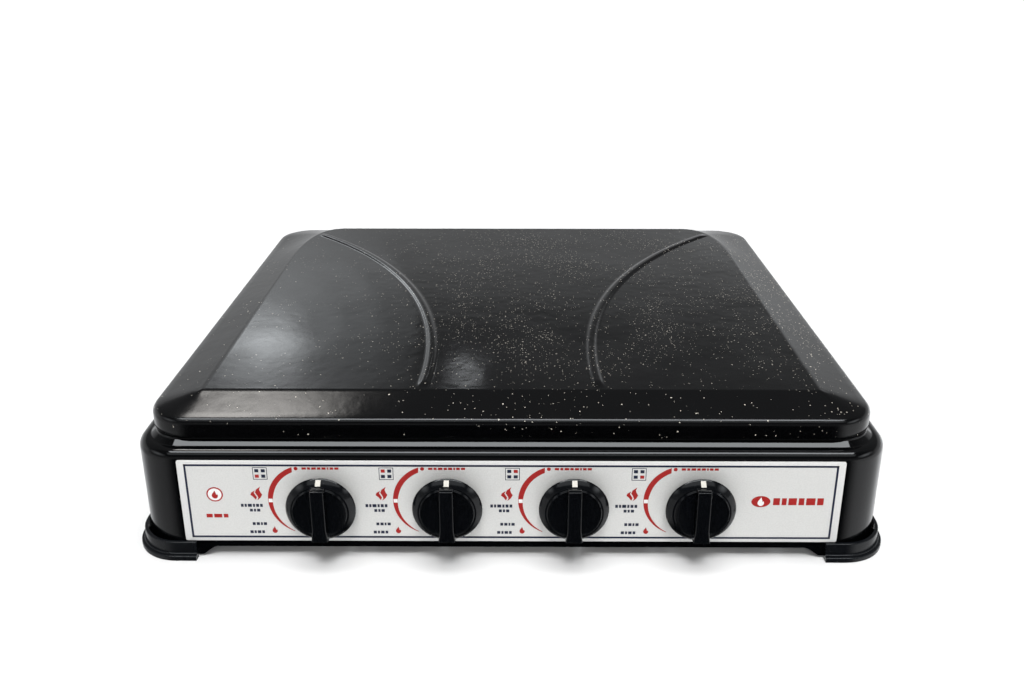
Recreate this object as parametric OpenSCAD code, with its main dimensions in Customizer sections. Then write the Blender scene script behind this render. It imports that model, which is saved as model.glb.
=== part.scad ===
// Table-top camping stove with four gas burners and a hinged steel lid.
// X is to the right, Y to the back, Z up. The origin is on the floor under the middle of the stove.

/* [Body] */
// Width of the pressed steel body
body_w = 570; // [560:1:580]
// Depth of the pressed steel body
body_d = 511; // [505:1:515]
// Plan radius of the body corners
body_r = 38; // [34:1:42]
// Thickness of the enamelled sheet
sheet = 1.2; // [1:0.1:1.4]
// Height of the ledge around the lid
ledge_z = 90; // [88:0.5:91]
// Height of the raised rim inside the ledge
rim_z = 95.4; // [94.6:0.1:95.4]
// Height of the cooking deck
deck_z = 84; // [82:0.5:85]
// Height of the lower edge between the feet
skirt_z = 8.8; // [7:0.1:11]

/* [Lid] */
// Width of the lid
lid_w = 550; // [546:1:552]
// Depth of the lid
lid_d = 490; // [486:1:492]
// Height of the lower edge of the lid
lid_low_z = 95.8; // [95.8:0.1:96.2]
// Height of the raised middle field
field_z = 121.5; // [120:0.5:124]
// Plan radius of the two pressed arcs
arc_r = 487; // [470:1:500]

/* [Panel] */
// Width of the printed control panel
panel_w = 494; // [480:1:496]
// Height of the printed control panel
panel_h = 69; // [66:1:70]
// Height of the knob axes and of the panel's middle
knob_z = 49; // [48:0.5:50]
// Distance between neighbouring knobs
knob_pitch = 93.5; // [90:0.5:95]
// Radius of the knob's widest edge
knob_r = 26; // [24:0.5:28]
// How far a knob is pushed in before it turns
push = 3; // [2:0.5:3]

/* [Burners] */
// Distance of the burners from the middle, left and right
burner_x = 127; // [125:1:129]
// Distance of the burners from the middle, front and back
burner_y = 108; // [106:1:110]
// Cup radius of the large front left burner
large_r = 42; // [40:1:43]
// Cup radius of the two medium rear burners
medium_r = 33; // [31:1:35]
// Cup radius of the small front right burner
small_r = 25; // [23:1:27]

/* [Pan supports] */
// Height of the top of the pan supports
grid_z = 111; // [110:0.5:112]
// Radius of the wire
wire_r = 2.5; // [2.3:0.1:2.7]

/* [Feet] */
// How far the foot's floor flange stands out past the body
foot_out = 6.5; // [6:0.5:7]
// Height of the foot's upright wall
foot_z = 14; // [13:0.5:14]

/* [Gas inlet] */
// Radius of the threaded gas inlet, for a G 1/2 nut
inlet_r = 10.48; // [10:0.01:11]
// Distance of the inlet from the middle
inlet_x = 226; // [222:1:228]

/* [Hidden] */
$fn = 64;
eps = 0.01;
front = -body_d / 2;
back = body_d / 2;
shoulder_r = 8;
step_in = 13;
rim_round = 2;
deck_in = 24;
deck_w = body_w - 2 * deck_in;
deck_d = body_d - 2 * deck_in;
skirt_low_z = 1.6;
arch_run = 17;
arch_end = 62;
panel_t = 1;
panel_y = front - panel_t;
stem_hole_r = 7;
lid_r = 35;
lid_top_r = 6;
field_rise = 9.5;
field_in_x = 39;
field_in_y = 30;
arc_y = -166;
arc_x = 66 + arc_r;
arc_height = 1.7;
arc_half_w = 3.8;
arc_from = 5.5;
arc_to = 47.5;
hinge_x = 170;
hinge_y = back - 3.5;
hinge_z = 101;
hinge_pin_r = 2;
knuckle_r = 4;
knuckle_half = 9;
ear_t = 2;
leaf_screw_up = 5.2;
ear_gap = 0.4;
pad_x = 236;
pad_y = 236.5;
stem_r = 4;
collar_r = 5.4;
tap_r = 9.5;
tap_bore_r = 6;
tap_front = front + 4;
tap_back = front + 34;
plug_front = tap_front + 9;
plug_back = tap_front + 25;
port_y = front + 24;
outlet_z = knob_z - 9.6;
nut_h = 3.4;
pipe_r = 4;
pipe_bore_r = 3;
pipe_z = 30;
bend_r = 6;
rail_r = 8;
rail_bore_r = 6.5;
rail_y = front + 43;
rail_left = -166;
supply_bend = 18;
jet_z = 65;
jet_gap = 12;
mixer_len = 72;
mixer_r = 9;
cup_low_z = 52;
cup_top_z = 90;
cup_wall = 2.4;
ear_reach = 14;
screw_r = 1.9;
screw_head_r = 3.6;
rail_bracket_x = knob_pitch;
bracket_y = rail_y;
foot_gap = 0.5;
foot_wall = 2.6;
foot_r = 31;
foot_reach = 46;
foot_side_reach = 37;
foot_plate_z = 1.6;
foot_screw_in = 22;
tab_z = 12;
knob_back_y = panel_y - 4;
knob_edge_y = panel_y - 10;
knob_face_y = panel_y - 15;
grip_y = panel_y - 21.5;
grip_half = 21.4;
inlet_y = -grip_y;
locknut_t = 5;
neck_r = inlet_r - 0.2;
flange_t = 4;

burners = [
    ["front_left", -burner_x, -burner_y, large_r, 0],
    ["rear_left", -burner_x, burner_y, medium_r, 1],
    ["rear_right", burner_x, burner_y, medium_r, 2],
    ["front_right", burner_x, -burner_y, small_r, 3],
];

// X of knob number i, counted from 0 on the left
function knob_x(i) = (i - 1.5) * knob_pitch;

// Y of the jet holder that serves a burner at y
function holder_y(y) = y - mixer_len - jet_gap;

// ---- shared shapes ----

// Rounded rectangle outline
module outline(w, d, r) {
    square([w - 2 * r, d], center = true);
    square([w, d - 2 * r], center = true);
    for (x = [-1, 1], y = [-1, 1])
        translate([x * (w / 2 - r), y * (d / 2 - r)])
            circle(r = r);
}

// Rounded rectangle plate from z0 to z1
module plate(w, d, r, z0, z1) {
    translate([0, 0, z0])
        linear_extrude(z1 - z0)
            outline(w, d, r);
}

// Cylinder along Y from y0 to y1
module rod_y(r, y0, y1, x = 0, z = 0) {
    translate([x, y0, z])
        rotate([-90, 0, 0])
            cylinder(r = r, h = y1 - y0);
}

// Cylinder along X from x0 to x1
module rod_x(r, x0, x1, y = 0, z = 0) {
    translate([x0, y, z])
        rotate([0, 90, 0])
            cylinder(r = r, h = x1 - x0);
}

// Cylinder along Z from z0 to z1
module rod_z(r, z0, z1, x = 0, y = 0) {
    translate([x, y, z0])
        cylinder(r = r, h = z1 - z0);
}

// Quarter bend in the XZ plane from pointing down at the origin to pointing along +X
module bend(r, bend) {
    translate([bend, 0, 0])
        rotate([90, 0, 0])
            rotate([0, 0, 180])
                rotate_extrude(angle = 90)
                    translate([bend, 0])
                        circle(r = r);
}

// Self-tapping screw with a low round head, tip down, its seat at the origin
module screw(shank) {
    rod_z(screw_head_r, 0, 1.2);
    rod_z(screw_head_r - 1, 1.2, 1.9);
    rod_z(screw_r, -shank, eps);
}

// ---- body ----

// Points of a quarter round about (cx, cz) from angle a0 to a1
function quarter(cx, cz, r, a0, a1) = [
    for (k = [0:6])
        let (a = a0 + (a1 - a0) * k / 6)
            [cx + r * cos(a), cz + r * sin(a)]
];

// Section of the pressed edge: side wall, shoulder, narrow ledge, slope, rim and recess wall.
// Its first value is the distance from the middle of a corner of plan radius body_r.
module edge_section() {
    shoulder_x = body_r - shoulder_r;
    step_x = body_r - step_in;
    deck_x = body_r - deck_in;
    inner_x = deck_x + sheet;
    polygon(concat(
        [[body_r, skirt_low_z]],
        quarter(shoulder_x, ledge_z - shoulder_r, shoulder_r, 0, 90),
        [[shoulder_x - 0.8, ledge_z]],
        quarter(step_x - rim_round, rim_z - rim_round, rim_round, 0, 90),
        [[deck_x, rim_z], [deck_x, deck_z - sheet], [inner_x, deck_z - sheet], [inner_x, rim_z - sheet]],
        quarter(step_x - rim_round, rim_z - rim_round, rim_round - sheet, 90, 0),
        [[shoulder_x - 1.5, ledge_z - sheet]],
        quarter(shoulder_x, ledge_z - shoulder_r, shoulder_r - sheet, 90, 0),
        [[body_r - sheet, skirt_low_z]]
    ));
}

// The pressed edge swept round the body: four corners and four straight runs
module pressed_edge() {
    run_x = body_w - 2 * body_r;
    run_y = body_d - 2 * body_r;
    for (q = [0:3])
        rotate([0, 0, 90 * q]) {
            long = q % 2 == 0 ? run_x : run_y;
            wide = q % 2 == 0 ? run_y : run_x;
            translate([long / 2, wide / 2, 0])
                rotate_extrude(angle = 90)
                    edge_section();
            translate([long / 2, wide / 2, 0])
                rotate([90, 0, 0])
                    linear_extrude(wide)
                        edge_section();
        }
}

// Side view of the cut that lifts the lower edge between two feet
module arch(width) {
    half = width / 2 - arch_end;
    steps = 6;
    polygon([
        for (i = [0:steps])
            [half + arch_run * i / steps, skirt_z * (1 + cos(180 * i / steps)) / 2 - (i == steps ? 1 : 0)],
        for (i = [steps:-1:0])
            [-half - arch_run * i / steps, skirt_z * (1 + cos(180 * i / steps)) / 2 - (i == steps ? 1 : 0)],
    ]);
}

// Inward tabs in the corners that take the foot screws
module corner_tabs() {
    intersection() {
        plate(body_w - sheet, body_d - sheet, body_r - sheet / 2, tab_z, tab_z + sheet);
        for (x = [-1, 1], y = [-1, 1])
            translate([x * body_w / 2, y * body_d / 2, tab_z + sheet / 2])
                cube([2 * foot_reach, 2 * foot_reach, sheet], center = true);
    }
}

// Places its child at the four foot screws
module at_foot_screws() {
    for (x = [-1, 1], y = [-1, 1])
        translate([x * (body_w / 2 - foot_screw_in), y * (body_d / 2 - foot_screw_in), 0])
            children();
}

// Places its child at the two screws of each burner
module at_burner_screws() {
    for (b = burners, s = [-1, 1])
        translate([b[1] + s * (b[3] + ear_reach - 3.5), b[2], deck_z])
            children();
}

// Places its child at the two rail bracket screws
module at_rail_screws() {
    for (s = [-1, 1])
        translate([s * rail_bracket_x, bracket_y, deck_z])
            children();
}

// Places its child at the hinge screws in the rear wall
module at_hinge_screws() {
    for (s = [-1, 1], t = [-1, 1])
        translate([s * hinge_x + t * 12, back, ledge_z - 17])
            children();
}

// Places its child at the four lid buffers
module at_buffers() {
    for (x = [-1, 1], y = [-1, 1])
        translate([x * pad_x, y * pad_y, rim_z])
            children();
}

module body_shell() {
    color("#15161a")
        difference() {
            union() {
                pressed_edge();
                plate(deck_w, deck_d, body_r - deck_in, deck_z - sheet, deck_z);
                corner_tabs();
                for (b = burners)
                    rod_z(b[3] + 5, deck_z - sheet / 2, deck_z + 1.5, b[1], b[2]);
            }
            translate([0, body_d, 0])
                rotate([90, 0, 0])
                    linear_extrude(2 * body_d)
                        arch(body_w);
            translate([-body_w, 0, 0])
                rotate([90, 0, 90])
                    linear_extrude(2 * body_w)
                        arch(body_d);
            for (i = [0:3])
                rod_y(stem_hole_r, front - 1, front + sheet + 1, knob_x(i), knob_z);
            for (b = burners)
                rod_z(b[3] + 0.5, deck_z - 5, deck_z + 5, b[1], b[2]);
            at_burner_screws()
                rod_z(screw_r, -3, 3);
            at_rail_screws()
                rod_z(screw_r, -3, 3);
            at_foot_screws()
                rod_z(screw_r, tab_z - 1, tab_z + sheet + 1);
            at_buffers()
                rod_z(2, -3, 3);
            at_hinge_screws()
                rod_y(screw_r, -3, 3);
            rod_y(inlet_r + 0.3, back - 3, back + 3, inlet_x, knob_z);
        }
}

// ---- lid ----

// Solid lid form from z0 up; inset shrinks it for the hollow
module lid_block(inset, z0) {
    w = lid_w - 2 * inset;
    d = lid_d - 2 * inset;
    top = field_z - field_rise - inset;
    back_r = 60;
    hull() {
        for (a = [0:22.5:90]) {
            in = lid_top_r * (1 - cos(a));
            z = top - lid_top_r * (1 - sin(a));
            plate(w - 2 * in, d - 2 * in, lid_r - inset - in, z0, z, $fn = 32);
        }
        for (x = [-1, 1]) {
            translate([x * (lid_w / 2 - field_in_x - 4), -lid_d / 2 + field_in_y + 4, z0])
                cylinder(r = 4, h = field_z - inset - z0, $fn = 32);
            translate([x * (lid_w / 2 - field_in_x - back_r), lid_d / 2 - field_in_y - back_r, z0])
                cylinder(r = back_r, h = field_z - inset - z0, $fn = 32);
        }
    }
}

// Raised arc pressed into the field of the left side, as two flat bands on each other
module pressed_arc() {
    for (band = [[arc_half_w, 0.6], [arc_half_w - 1.2, arc_height]])
        translate([-arc_x, arc_y, field_z - sheet / 2])
            linear_extrude(sheet / 2 + band[1])
                arc_outline(band[0]);
}

// Ring sector of half width w about the arc's radius
module arc_outline(w) {
    steps = 24;
    sweep = arc_from + arc_to;
    polygon([
        for (k = [0:steps])
            let (a = sweep * k / steps - arc_from)
                [(arc_r + w) * cos(a), (arc_r + w) * sin(a)],
        for (k = [steps:-1:0])
            let (a = sweep * k / steps - arc_from)
                [(arc_r - w) * cos(a), (arc_r - w) * sin(a)],
    ]);
}

module lid_shell() {
    color("#101114") {
        difference() {
            lid_block(0, lid_low_z);
            lid_block(sheet, lid_low_z - 1);
            at_leaf_screws()
                rod_y(screw_r, -3, 3);
        }
        pressed_arc();
        mirror([1, 0, 0])
            pressed_arc();
    }
}

// Places its child at the screws that hold the leaves on the lid
module at_leaf_screws() {
    for (s = [-1, 1])
        translate([s * hinge_x, lid_d / 2, hinge_z + leaf_screw_up])
            children();
}

// Strap on the back of the lid with a knuckle around the pin
module lid_hinge_leaves() {
    color("#9a9ca0")
        for (s = [-1, 1])
            translate([s * hinge_x, 0, 0])
                difference() {
                    union() {
                        rod_x(knuckle_r, -knuckle_half, knuckle_half, hinge_y, hinge_z);
                        translate([-knuckle_half, lid_d / 2, hinge_z - 3])
                            cube([2 * knuckle_half, 1.5, 12]);
                        translate([-knuckle_half, lid_d / 2, hinge_z - 1])
                            cube([2 * knuckle_half, hinge_y - lid_d / 2, 2]);
                    }
                    rod_x(hinge_pin_r + 0.05, -knuckle_half - 1, knuckle_half + 1, hinge_y, hinge_z);
                    rod_y(screw_r, lid_d / 2 - 1, lid_d / 2 + 2, 0, hinge_z + leaf_screw_up);
                }
}

// Side view of an ear: a strap up the rear wall with a round end about the pin
module ear_outline() {
    translate([hinge_y, hinge_z])
        circle(r = knuckle_r);
    polygon([
        [back, ledge_z - 6],
        [back + 4, ledge_z - 6],
        [back + 4, hinge_z - 5],
        [hinge_y + 2.5, hinge_z + 2.5],
        [hinge_y - 2, hinge_z - 2.5],
        [back, ledge_z + 3],
    ]);
}

// Plate on the rear wall with two ears that carry the pin
module hinge_brackets() {
    reach = knuckle_half + ear_gap;
    color("#9a9ca0")
        for (s = [-1, 1])
            translate([s * hinge_x, 0, 0])
                difference() {
                    union() {
                        translate([-20, back, ledge_z - 24])
                            cube([40, 1.5, 19]);
                        for (t = [-1, 1])
                            translate([t * (reach + ear_t / 2) - ear_t / 2, 0, 0])
                                rotate([90, 0, 90])
                                    linear_extrude(ear_t)
                                        ear_outline();
                    }
                    rod_x(hinge_pin_r, -20, 20, hinge_y, hinge_z);
                    for (t = [-1, 1])
                        rod_y(screw_r, back - 1, back + 3, t * 12, ledge_z - 17);
                }
}

module hinge_pins() {
    reach = knuckle_half + ear_gap + ear_t;
    color("silver")
        for (s = [-1, 1])
            translate([s * hinge_x, 0, 0]) {
                rod_x(hinge_pin_r, -reach - 1, reach, hinge_y, hinge_z);
                rod_x(hinge_pin_r + 1.2, reach, reach + 1.5, hinge_y, hinge_z);
            }
}

module hinge_screws() {
    color("silver")
        at_hinge_screws()
            translate([0, 1.5, 0])
                rotate([-90, 0, 0])
                    screw(6);
}

// Screws that hold the leaves on the lid
module leaf_screws() {
    color("silver")
        at_leaf_screws()
            translate([0, 1.5, 0])
                rotate([-90, 0, 0])
                    screw(6);
}

// Rubber buffers that stand on the rim just under the lid
module lid_buffers() {
    color("#202020")
        at_buffers() {
            rod_z(4, 0, 12);
            rod_z(2, -4, eps);
        }
}

// ---- control panel and knobs ----

module control_panel() {
    color("#dfe1e0")
        difference() {
            translate([0, front, knob_z])
                rotate([90, 0, 0])
                    linear_extrude(panel_t)
                        outline(panel_w, panel_h, 1.5);
            for (i = [0:3])
                rod_y(stem_hole_r, panel_y - 1, front + 1, knob_x(i), knob_z);
        }
}

// Knob with a bevelled skirt, a groove and a straight grip; its axis is Y
module knob(i) {
    color("#0d0e11")
        translate([knob_x(i), 0, knob_z]) {
            difference() {
                rotate([90, 0, 0])
                    rotate_extrude()
                        polygon([
                            [stem_r, -knob_back_y],
                            [knob_r - 4, -knob_back_y],
                            [knob_r - 0.6, -knob_edge_y - 1.2],
                            [knob_r, -knob_edge_y],
                            [knob_r - 4.6, -knob_face_y],
                            [knob_r - 5.6, -knob_face_y],
                            [knob_r - 6, -knob_face_y - 1.2],
                            [knob_r - 6.8, -knob_face_y - 1.2],
                            [knob_r - 7.2, -knob_face_y - 0.3],
                            [stem_r, -knob_face_y - 0.3],
                        ]);
                rotate([90, 0, 0])
                    rotate_extrude()
                        polygon([
                            [9, -knob_back_y - 1],
                            [knob_r - 5.5, -knob_back_y - 1],
                            [knob_r - 4, -knob_edge_y],
                            [knob_r - 8, -knob_face_y - 3],
                            [9, -knob_face_y - 3],
                        ]);
            }
            difference() {
                translate([0, knob_face_y + 2, 0])
                    rotate([90, 0, 0])
                        linear_extrude(knob_face_y + 2 - grip_y)
                            polygon([
                                [-4.1, grip_half],
                                [4.1, grip_half],
                                [4.3, -grip_half + 10],
                                [6.3, -grip_half],
                                [-6.3, -grip_half],
                                [-4.3, -grip_half + 10],
                            ]);
                rod_y(stem_r, knob_face_y, knob_face_y + 3);
            }
        }
}

// Stem that joins the knob to the plug, with a collar and a flat tang
module tap_spindle(i) {
    color("silver")
        translate([knob_x(i), 0, knob_z]) {
            rod_y(stem_r, knob_face_y, tap_front + 1);
            rod_y(collar_r, tap_front + 0.2, tap_front + 1.6);
            translate([-1.5, tap_front + 1.5, -2.5])
                cube([3, 10.5, 5]);
        }
}

// ---- gas taps ----

// Plug that turns in the tap and opens its ports
module tap_plug(i) {
    color("#c8a24a")
        translate([knob_x(i), 0, knob_z])
            difference() {
                rod_y(tap_bore_r - 0.05, plug_front, plug_back);
                translate([-1.6, plug_front - 1, -2.6])
                    cube([3.2, 8.5, 5.2]);
                rod_z(2.2, -10, 0, 0, port_y);
                rod_y(2.2, port_y, plug_back + 1);
            }
}

module tap_body(i) {
    color("#c2a050")
        difference() {
            union() {
                rod_y(tap_r, tap_front, tap_back, knob_x(i), knob_z);
                rod_y(5, tap_back - 1, rail_y - rail_r + 1.5, knob_x(i), knob_z);
                rod_z(6, outlet_z, knob_z - 5, knob_x(i), port_y);
            }
            rod_y(tap_bore_r, tap_front - 1, plug_back + 0.2, knob_x(i), knob_z);
            rod_y(2.5, plug_back, rail_y, knob_x(i), knob_z);
            rod_z(2.5, outlet_z - 1, knob_z - 3, knob_x(i), port_y);
            rod_z(pipe_r, outlet_z - 1, outlet_z + 3, knob_x(i), port_y);
        }
}

module tap_bonnets() {
    color("#c2a050")
        for (i = [0:3])
            difference() {
                rod_y(tap_r, tap_front - 1.5, tap_front, knob_x(i), knob_z);
                rod_y(stem_r + 0.1, tap_front - 3, tap_front + 1, knob_x(i), knob_z);
            }
}

// Return spring of each tap, drawn as short as it gets when the knob is pushed in
module tap_springs() {
    wire = 0.4;
    mean_r = 4.5;
    turns = 3.4;
    length = plug_front - tap_front - 1.8 - push - 2 * wire - 0.1;
    sides = 6;
    steps = 40;
    points = [
        for (k = [0:steps])
            for (j = [0:sides - 1])
                let (a = 360 * turns * k / steps, b = 360 * j / sides, r = mean_r + wire * cos(b))
                    [r * cos(a), r * sin(a), length * k / steps + wire * sin(b)]
    ];
    walls = [
        for (k = [0:steps - 1])
            for (j = [0:sides - 1])
                let (n = (j + 1) % sides)
                    [k * sides + j, k * sides + n, (k + 1) * sides + n, (k + 1) * sides + j]
    ];
    ends = [
        [for (j = [sides - 1:-1:0]) j],
        [for (j = [0:sides - 1]) steps * sides + j],
    ];
    color("silver")
        for (i = [0:3])
            translate([knob_x(i), plug_front - 0.1 - wire, knob_z])
                rotate([90, 0, 0])
                    polyhedron(points = points, faces = concat(walls, ends));
}

// ---- gas rail and inlet ----

module gas_rail() {
    color("#b9bcc0")
        difference() {
            rod_x(rail_r, rail_left, inlet_x - supply_bend, rail_y, knob_z);
            rod_x(rail_bore_r, rail_left - 1, inlet_x, rail_y, knob_z);
            for (i = [0:3])
                rod_y(5, rail_y - rail_r - 2, rail_y, knob_x(i), knob_z);
        }
}

module rail_end_plug() {
    color("silver") {
        rod_x(rail_bore_r, rail_left, rail_left + 8, rail_y, knob_z);
        rod_x(rail_r, rail_left - 3, rail_left, rail_y, knob_z);
    }
}

// Straps that hang the rail under the deck
module rail_brackets() {
    color("silver")
        for (s = [-1, 1])
            translate([s * rail_bracket_x, 0, 0])
                difference() {
                    union() {
                        rod_x(rail_r + 2, -6, 6, rail_y, knob_z);
                        translate([-6, rail_y - 1, knob_z + rail_r])
                            cube([12, 2, deck_z - sheet - knob_z - rail_r]);
                        translate([-6, rail_y - 7, deck_z - sheet - 2])
                            cube([12, 14, 2]);
                    }
                    rod_x(rail_r, -7, 7, rail_y, knob_z);
                    rod_z(screw_r, deck_z - 12, deck_z, 0, bracket_y);
                }
}

// Screws through the deck into the burner cups and the rail's straps
module deck_screws() {
    color("silver") {
        at_burner_screws()
            screw(7);
        at_rail_screws()
            screw(7);
    }
}

// Pipe from the rail's end along the side to the rear wall
module supply_pipe() {
    color("#b9bcc0")
        difference() {
            supply_run(rail_r, 0);
            supply_run(rail_bore_r, 1);
        }
}

module supply_run(r, extra) {
    translate([inlet_x - supply_bend, rail_y + supply_bend, knob_z])
        rotate([0, 0, -90])
            rotate_extrude(angle = 90)
                translate([supply_bend, 0])
                    circle(r = r);
    rod_y(r, rail_y + supply_bend, back - 9 + extra, inlet_x, knob_z);
}

// Threaded inlet through the rear wall
module inlet_connector() {
    color("#c2a050")
        difference() {
            union() {
                rod_y(neck_r, back - 15, back + locknut_t, inlet_x, knob_z);
                rod_y(inlet_r, back + locknut_t, inlet_y, inlet_x, knob_z);
                rod_y(inlet_r + 4, back - sheet - flange_t, back - sheet, inlet_x, knob_z);
            }
            rod_y(5.5, back - 16, inlet_y + 1, inlet_x, knob_z);
            rod_y(rail_r, back - 16, back - 9, inlet_x, knob_z);
        }
}

module inlet_locknut() {
    color("#c2a050")
        translate([inlet_x, back, knob_z])
            rotate([-90, 0, 0])
                difference() {
                    cylinder(r = 15, h = locknut_t, $fn = 6);
                    translate([0, 0, -1])
                        cylinder(r = neck_r, h = locknut_t + 2);
                }
}

// ---- feed pipes, jets and burners ----

// Pipe that drops from its tap, runs under the rail and rises to the jet holder
module feed_pipe(b) {
    from = [knob_x(b[4]), port_y];
    to = [b[1], holder_y(b[2])];
    run = norm(to - from);
    turn = atan2(to[1] - from[1], to[0] - from[0]);
    color("#b9bcc0")
        translate([from[0], from[1], 0])
            rotate([0, 0, turn])
                difference() {
                    feed_run(pipe_r, run, 0);
                    feed_run(pipe_bore_r, run, 1);
                }
}

module feed_run(r, run, extra) {
    top = outlet_z + 3 + extra;
    rod_z(r, pipe_z + bend_r, top);
    translate([0, 0, pipe_z + bend_r])
        bend(r, bend_r);
    rod_x(r, bend_r, run - bend_r, 0, pipe_z);
    translate([run, 0, pipe_z + bend_r])
        mirror([1, 0, 0])
            bend(r, bend_r);
    rod_z(r, pipe_z + bend_r, jet_z - 8 + extra, run);
}

// Hexagon nuts where the pipes meet the taps and the jet holders
module pipe_nuts() {
    color("#c2a050")
        for (b = burners) {
            translate([knob_x(b[4]), port_y, outlet_z - nut_h])
                pipe_nut();
            translate([b[1], holder_y(b[2]), jet_z - 10 - nut_h])
                pipe_nut();
        }
}

module pipe_nut() {
    difference() {
        cylinder(r = 7.5, h = nut_h, $fn = 6);
        translate([0, 0, -1])
            cylinder(r = pipe_r, h = nut_h + 2);
    }
}

// Angle block that turns the gas into the jet, held on the mixing tube by two arms
module jet_holders() {
    color("#b9bcc0")
        for (b = burners)
            translate([b[1], holder_y(b[2]), jet_z])
                difference() {
                    union() {
                        translate([-7, -6, -10])
                            cube([14, 11, 17]);
                        for (s = [-1, 1])
                            translate([s * 12.6 - 1.5, -3, -4])
                                cube([3, jet_gap + 11, 8]);
                        translate([-14.1, -3, -4])
                            cube([28.2, 5, 8]);
                    }
                    rod_z(pipe_r, -11, -8);
                    rod_z(pipe_bore_r, -9, 0);
                    rod_y(2, 0, 6);
                }
}

module gas_jets() {
    color("#c2a050")
        for (b = burners)
            translate([b[1], holder_y(b[2]) + 5, jet_z])
                difference() {
                    union() {
                        rod_y(2, -4, 0);
                        rotate([-90, 0, 0])
                            cylinder(r = 4, h = 3.5, $fn = 6);
                        rod_y(2.6, 3.5, 6);
                    }
                    rod_y(0.5, -5, 7);
                }
}

// Cup with its mixing tube and two ears under the deck
module burner_cup(b) {
    r = b[3];
    ear_w = 12;
    color("#a9abad")
        translate([b[1], b[2], 0])
            difference() {
                union() {
                    rod_z(r, cup_low_z, cup_top_z);
                    rod_y(mixer_r, -mixer_len, 0, 0, jet_z);
                    rod_y(mixer_r + 2, -mixer_len, -mixer_len + 3, 0, jet_z);
                    translate([-r - ear_reach, -ear_w / 2, deck_z - sheet - 3])
                        cube([2 * (r + ear_reach), ear_w, 3]);
                }
                rod_z(r - cup_wall, cup_low_z + cup_wall, cup_top_z + 1);
                rod_y(mixer_r - 2, -mixer_len - 1, 0, 0, jet_z);
                for (s = [-1, 1])
                    rod_z(screw_r, deck_z - 8, deck_z, s * (r + ear_reach - 3.5));
            }
}

// Slotted crown that sits in the cup and spreads the flame
module burner_crown(b) {
    r = b[3];
    slots = floor(r * 0.75);
    color("#b4b6b8")
        translate([b[1], b[2], 0])
            difference() {
                union() {
                    rod_z(r + 3.5, cup_top_z, cup_top_z + 8);
                    rod_z(r - cup_wall - 0.1, cup_top_z - 4, cup_top_z + eps);
                }
                rod_z(r - 6, cup_top_z - 5, cup_top_z + 9);
                for (k = [0:slots - 1])
                    rotate([0, 0, 360 * k / slots])
                        translate([r - 8, -0.9, cup_top_z + 4])
                            cube([16, 1.8, 5]);
            }
}

// Enamelled cap with a lip that centres it in the crown
module burner_cap(b) {
    r = b[3];
    color("#1b1c1f")
        translate([b[1], b[2], cup_top_z + 8])
            rotate_extrude()
                polygon([
                    [0, 0],
                    [0, 4],
                    [r * 0.6, 3.7],
                    [r + 1, 2.6],
                    [r + 2, 1.4],
                    [r + 2, 0],
                    [r - 6.2, 0],
                    [r - 6.2, -2],
                    [r - 8.2, -2],
                    [r - 8.2, 0],
                ]);
}

// ---- pan supports ----

// Wire grid over the two burners of one side
module pan_support(s) {
    half_w = 113;
    half_d = 218;
    corner = 6;
    low_z = grid_z - wire_r - 4.6;
    top_z = grid_z - wire_r;
    color("#1a1b1e")
        translate([s * burner_x, 0, 0]) {
            for (t = [-1, 1]) {
                rod_x(wire_r, -half_w + corner, half_w - corner, t * half_d, low_z);
                rod_y(wire_r, -half_d + corner, half_d - corner, t * half_w, low_z);
                for (u = [-1, 1]) {
                    translate([t * (half_w - corner), u * (half_d - corner), low_z])
                        rotate([0, 0, t > 0 ? (u > 0 ? 0 : 270) : (u > 0 ? 90 : 180)])
                            rotate_extrude(angle = 90)
                                translate([corner, 0])
                                    circle(r = wire_r);
                    rod_z(wire_r, deck_z, low_z, t * half_w, u * (half_d - 40));
                }
            }
            for (y = [-burner_y, burner_y])
                for (t = [-1, 1]) {
                    rod_x(wire_r, t > 0 ? 20 : -half_w - 2, t > 0 ? half_w + 2 : -20, y, top_z);
                    rod_y(wire_r, t > 0 ? y + 20 : y - half_d / 2, t > 0 ? y + half_d / 2 : y - 20, 0, top_z);
                }
            rod_x(wire_r, -half_w, half_w, 0, low_z);
        }
}

// ---- feet ----

// Corner foot: an upright wall round the body's corner on a wider floor flange
module foot(sx, sy) {
    wall_out = foot_gap + foot_wall;
    color("#121316")
        mirror([sx < 0 ? 1 : 0, 0, 0])
            mirror([0, sy < 0 ? 1 : 0, 0])
                difference() {
                    intersection() {
                        union() {
                            plate(body_w + 2 * foot_out, body_d + 2 * foot_out, foot_r + foot_out, 0, 3.4);
                            plate(body_w + 2 * wall_out + 3, body_d + 2 * wall_out + 3, foot_r + wall_out + 1.5, 3.4, 4.8);
                            plate(body_w + 2 * wall_out, body_d + 2 * wall_out, foot_r + wall_out, 4.8, foot_z);
                        }
                        translate([body_w / 2 - foot_reach, body_d / 2 - foot_side_reach, 0])
                            cube([2 * foot_reach, 2 * foot_reach, 20]);
                    }
                    difference() {
                        plate(body_w + 2 * foot_gap, body_d + 2 * foot_gap, foot_r + foot_gap, foot_plate_z, foot_z + 1);
                        translate([body_w / 2 - foot_screw_in, body_d / 2 - foot_screw_in, 0])
                            rod_z(7, 0, tab_z);
                    }
                    translate([body_w / 2 - foot_screw_in, body_d / 2 - foot_screw_in, 0]) {
                        rod_z(screw_r + 0.3, -1, tab_z + 1);
                        rod_z(screw_head_r + 0.4, -1, 4);
                    }
                }
}

module foot_screws() {
    color("silver")
        at_foot_screws()
            translate([0, 0, 4])
                mirror([0, 0, 1])
                    screw(12);
}

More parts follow.
